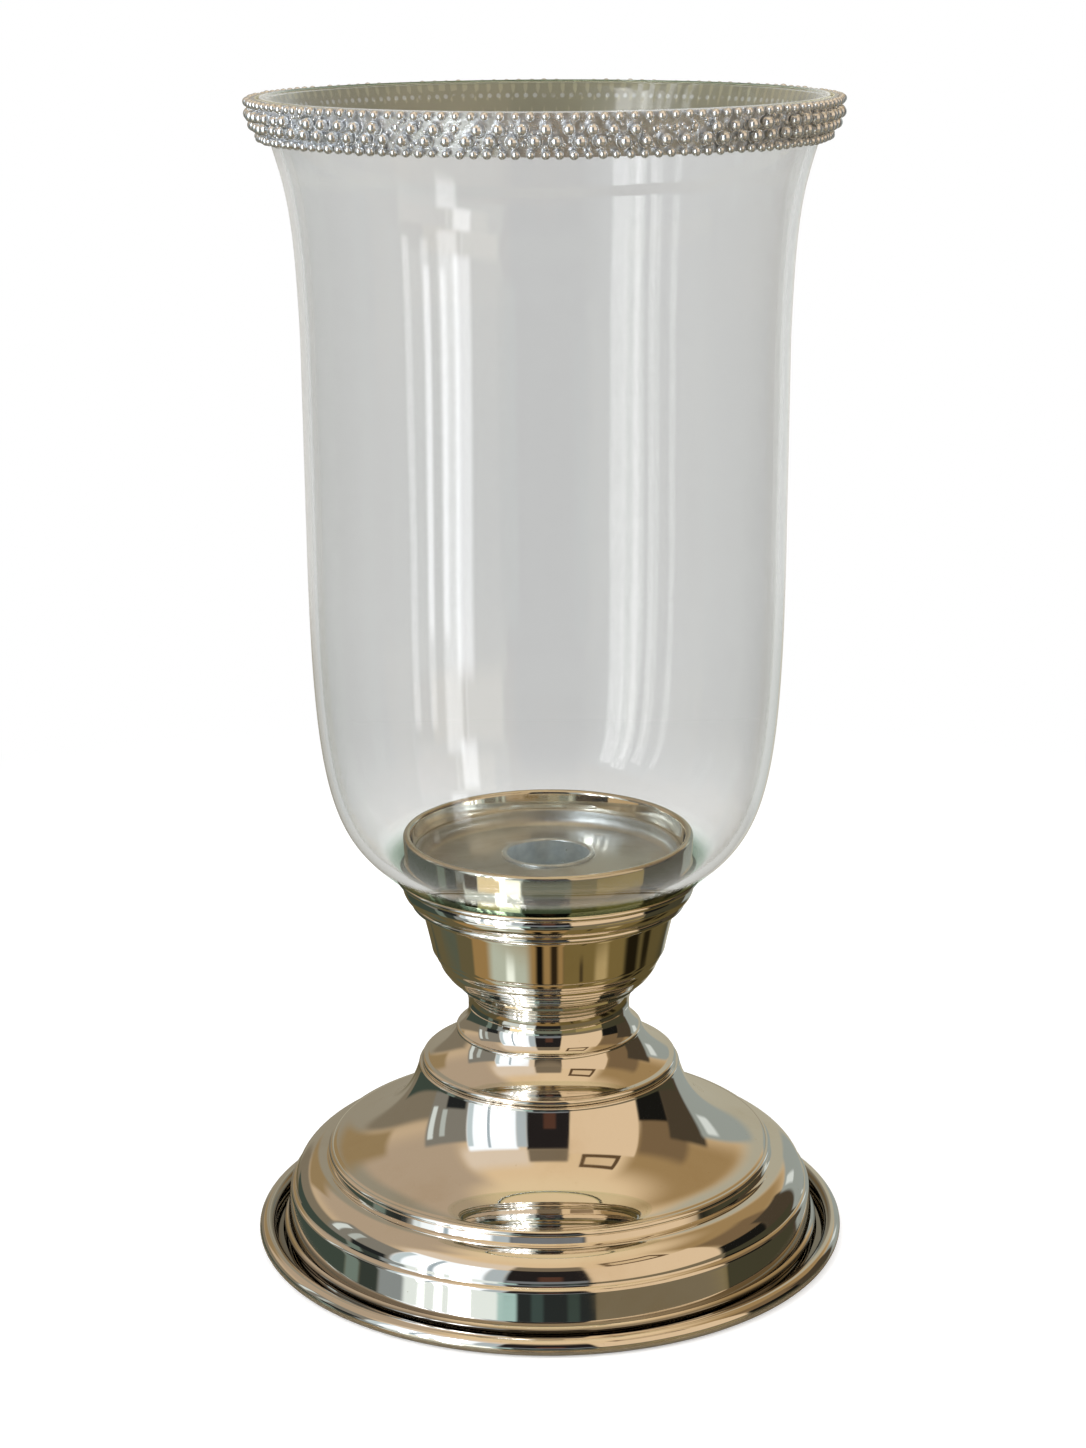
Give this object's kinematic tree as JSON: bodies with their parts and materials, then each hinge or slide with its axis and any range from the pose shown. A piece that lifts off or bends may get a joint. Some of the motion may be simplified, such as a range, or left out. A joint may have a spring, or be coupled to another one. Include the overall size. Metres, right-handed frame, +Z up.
{
  "type": "hurricane candle lantern",
  "caption": "Hurricane candle lantern: spun metal foot and stem, candle pan with a taper socket, and a lift-off flared glass shade with a beaded band round its mouth.",
  "frame": {"origin": "centre of the circle on which the foot's rolled rim stands, at table height", "axes": "+Z up along the lantern's axis. The lantern is round, so +X and +Y are any two directions at right angles across it, and -Y faces the viewer"},
  "size_m": [0.1688, 0.1688, 0.3226],
  "materials": {
    "polished_nickel": "polished warm nickel plate on spun metal",
    "dull_nickel": "dull nickel with a few drips of wax",
    "zinc": "dull blue-grey zinc",
    "fastener_steel": "plain zinc plate",
    "glass": "clear blown glass with a pale green edge",
    "glue": "clear yellowish glue",
    "pewter": "matt grey cast strip",
    "silver_beads": "bright silvery beads"
  },
  "bodies": {
    "stand": {"foot_shell": "polished_nickel", "stem_knob": "polished_nickel", "neck_spool": "polished_nickel", "bowl": "polished_nickel", "glass_seat": "polished_nickel", "candle_collar": "polished_nickel", "drip_tray": "dull_nickel", "candle_socket": "zinc", "tie_rod": "fastener_steel", "clamp_plate": "fastener_steel", "spring_washer": "fastener_steel", "hex_nut": "fastener_steel"},
    "shade": {"glass_shade": "glass", "band_glue": "glue", "band_strip": "pewter", "top_seed_row": "silver_beads", "upper_pearl_row": "silver_beads", "lower_pearl_row": "silver_beads", "bottom_seed_row": "silver_beads", "filler_beads": "silver_beads"}
  },
  "joints": [
    {"name": "shade_lift", "type": "slide", "parent": "stand", "child": "shade", "axis": [0, 0, 1], "range_m": [0, 0.06]}
  ]
}
